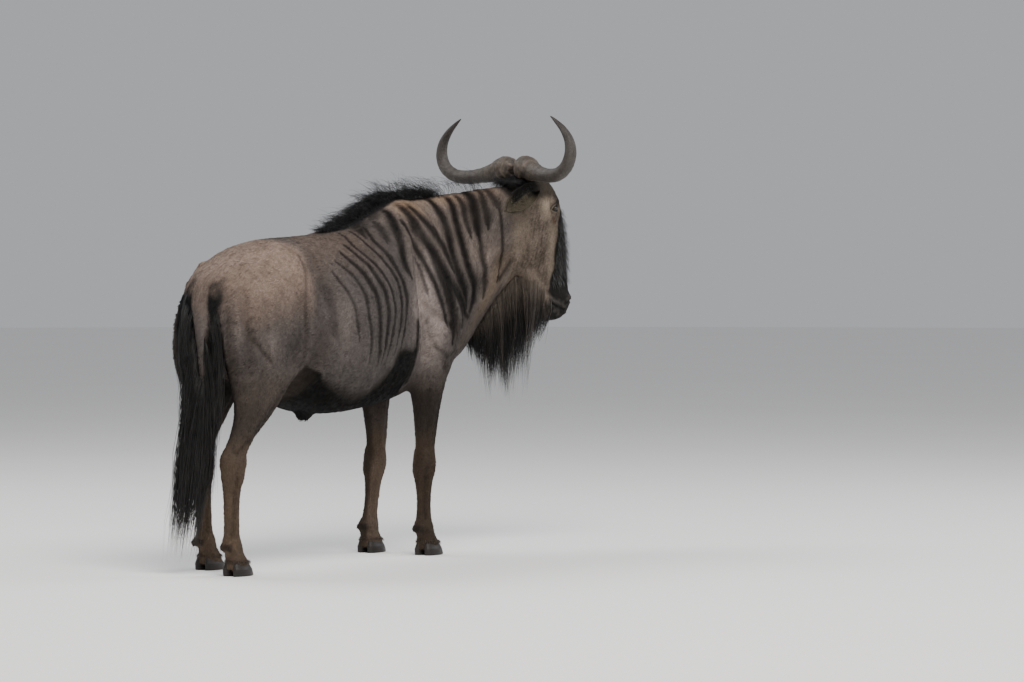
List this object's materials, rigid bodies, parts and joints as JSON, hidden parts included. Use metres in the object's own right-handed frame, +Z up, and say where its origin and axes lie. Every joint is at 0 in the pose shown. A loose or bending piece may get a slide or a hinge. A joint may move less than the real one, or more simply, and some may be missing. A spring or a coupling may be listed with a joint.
{
  "type": "wildebeest",
  "caption": "Still, life-size bull wildebeest standing on four cloven hooves, head up, with curved horns, mane, beard and hanging tail.",
  "frame": {"origin": "on the floor under the middle of the animal's outline", "axes": "+Z up, the animal faces -Y, its left side is +X"},
  "size_m": [0.804, 1.9938, 1.6593],
  "materials": {
    "hide": "short grey-brown coat with black-brown stripes",
    "dark_hide": "short dark red-brown coat",
    "face_hide": "short tan coat with a black blaze",
    "black_hair": "long coarse black hair",
    "horn": "smooth grey-brown horn, rougher at the bosses",
    "hoof": "dull black horn",
    "eye": "wet, dark brown"
  },
  "bodies": {
    "root": {"ear_left": "hide", "ear_right": "hide", "eye_left": "eye", "eye_right": "eye", "foreleg_left": "dark_hide", "foreleg_right": "dark_hide", "head": "face_hide", "hindleg_left": "dark_hide", "hindleg_right": "dark_hide", "hoof_fore_left_inner": "hoof", "hoof_fore_left_outer": "hoof", "hoof_fore_right_inner": "hoof", "hoof_fore_right_outer": "hoof", "hoof_hind_left_inner": "hoof", "hoof_hind_left_outer": "hoof", "hoof_hind_right_inner": "hoof", "hoof_hind_right_outer": "hoof", "horn_left": "horn", "horn_right": "horn", "neck": "hide", "tail": "black_hair", "torso": "hide"}
  },
  "joints": []
}
